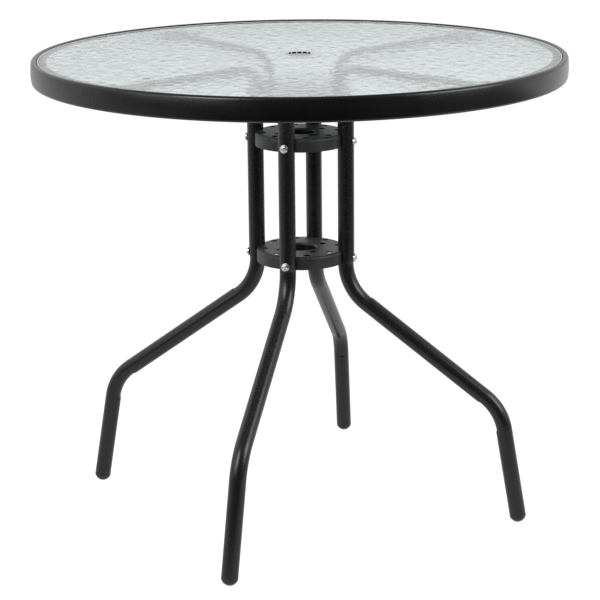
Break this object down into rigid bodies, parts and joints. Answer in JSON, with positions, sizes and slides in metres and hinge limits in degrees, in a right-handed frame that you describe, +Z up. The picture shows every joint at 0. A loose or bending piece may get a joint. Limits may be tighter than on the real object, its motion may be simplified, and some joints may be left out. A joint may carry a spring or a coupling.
{
  "type": "umbrella table",
  "caption": "Round patio table with a metal rim, a rippled glass top with an umbrella hole, thin arms, and bent tube legs joined by punched round plates.",
  "frame": {"origin": "on the floor, under the middle of the glass and of the umbrella way", "axes": "+Z up along the umbrella way; the pictured front, where the camera stands, is towards -Y, and +X is to its right"},
  "size_m": [0.7998, 0.7998, 0.714],
  "materials": {
    "frame_paint": "satin black powder coat",
    "plate_paint": "black powder coat, slightly lighter and grainy",
    "rippled_glass": "clear tempered glass with a fine rippled surface",
    "clear_plastic": "translucent moulded plastic",
    "gasket_strip": "milky flexible strip",
    "black_plastic": "black moulded plastic",
    "zinc_steel": "zinc plated, bright on the screws"
  },
  "bodies": {
    "root": {"table_rim": "frame_paint", "glass_ledge_ring": "zinc_steel", "ledge_band": "zinc_steel", "glass_gasket": "gasket_strip", "glass_top": "rippled_glass", "umbrella_hole_ring": "clear_plastic", "leg_front": "frame_paint", "foot_cap_front": "black_plastic", "arm_front": "frame_paint", "rim_bracket_front": "frame_paint", "leg_right": "frame_paint", "foot_cap_right": "black_plastic", "arm_right": "frame_paint", "rim_bracket_right": "frame_paint", "leg_back": "frame_paint", "foot_cap_back": "black_plastic", "arm_back": "frame_paint", "rim_bracket_back": "frame_paint", "leg_left": "frame_paint", "foot_cap_left": "black_plastic", "arm_left": "frame_paint", "rim_bracket_left": "frame_paint", "arm_pads": "clear_plastic", "lower_plate": "plate_paint", "upper_plate": "plate_paint", "hub_plate": "plate_paint", "lower_plate_screws": "zinc_steel", "lower_plate_washers": "zinc_steel", "lower_plate_nuts": "zinc_steel", "upper_plate_screws": "zinc_steel", "upper_plate_washers": "zinc_steel", "upper_plate_nuts": "zinc_steel", "hub_plate_screws": "zinc_steel", "hub_plate_washers": "zinc_steel", "hub_plate_nuts": "zinc_steel", "arm_post_screws": "zinc_steel", "arm_post_washers": "zinc_steel", "arm_post_nuts": "zinc_steel", "arm_bolts": "zinc_steel", "arm_bolt_washers": "zinc_steel", "arm_bolt_nuts": "zinc_steel"}
  },
  "joints": []
}
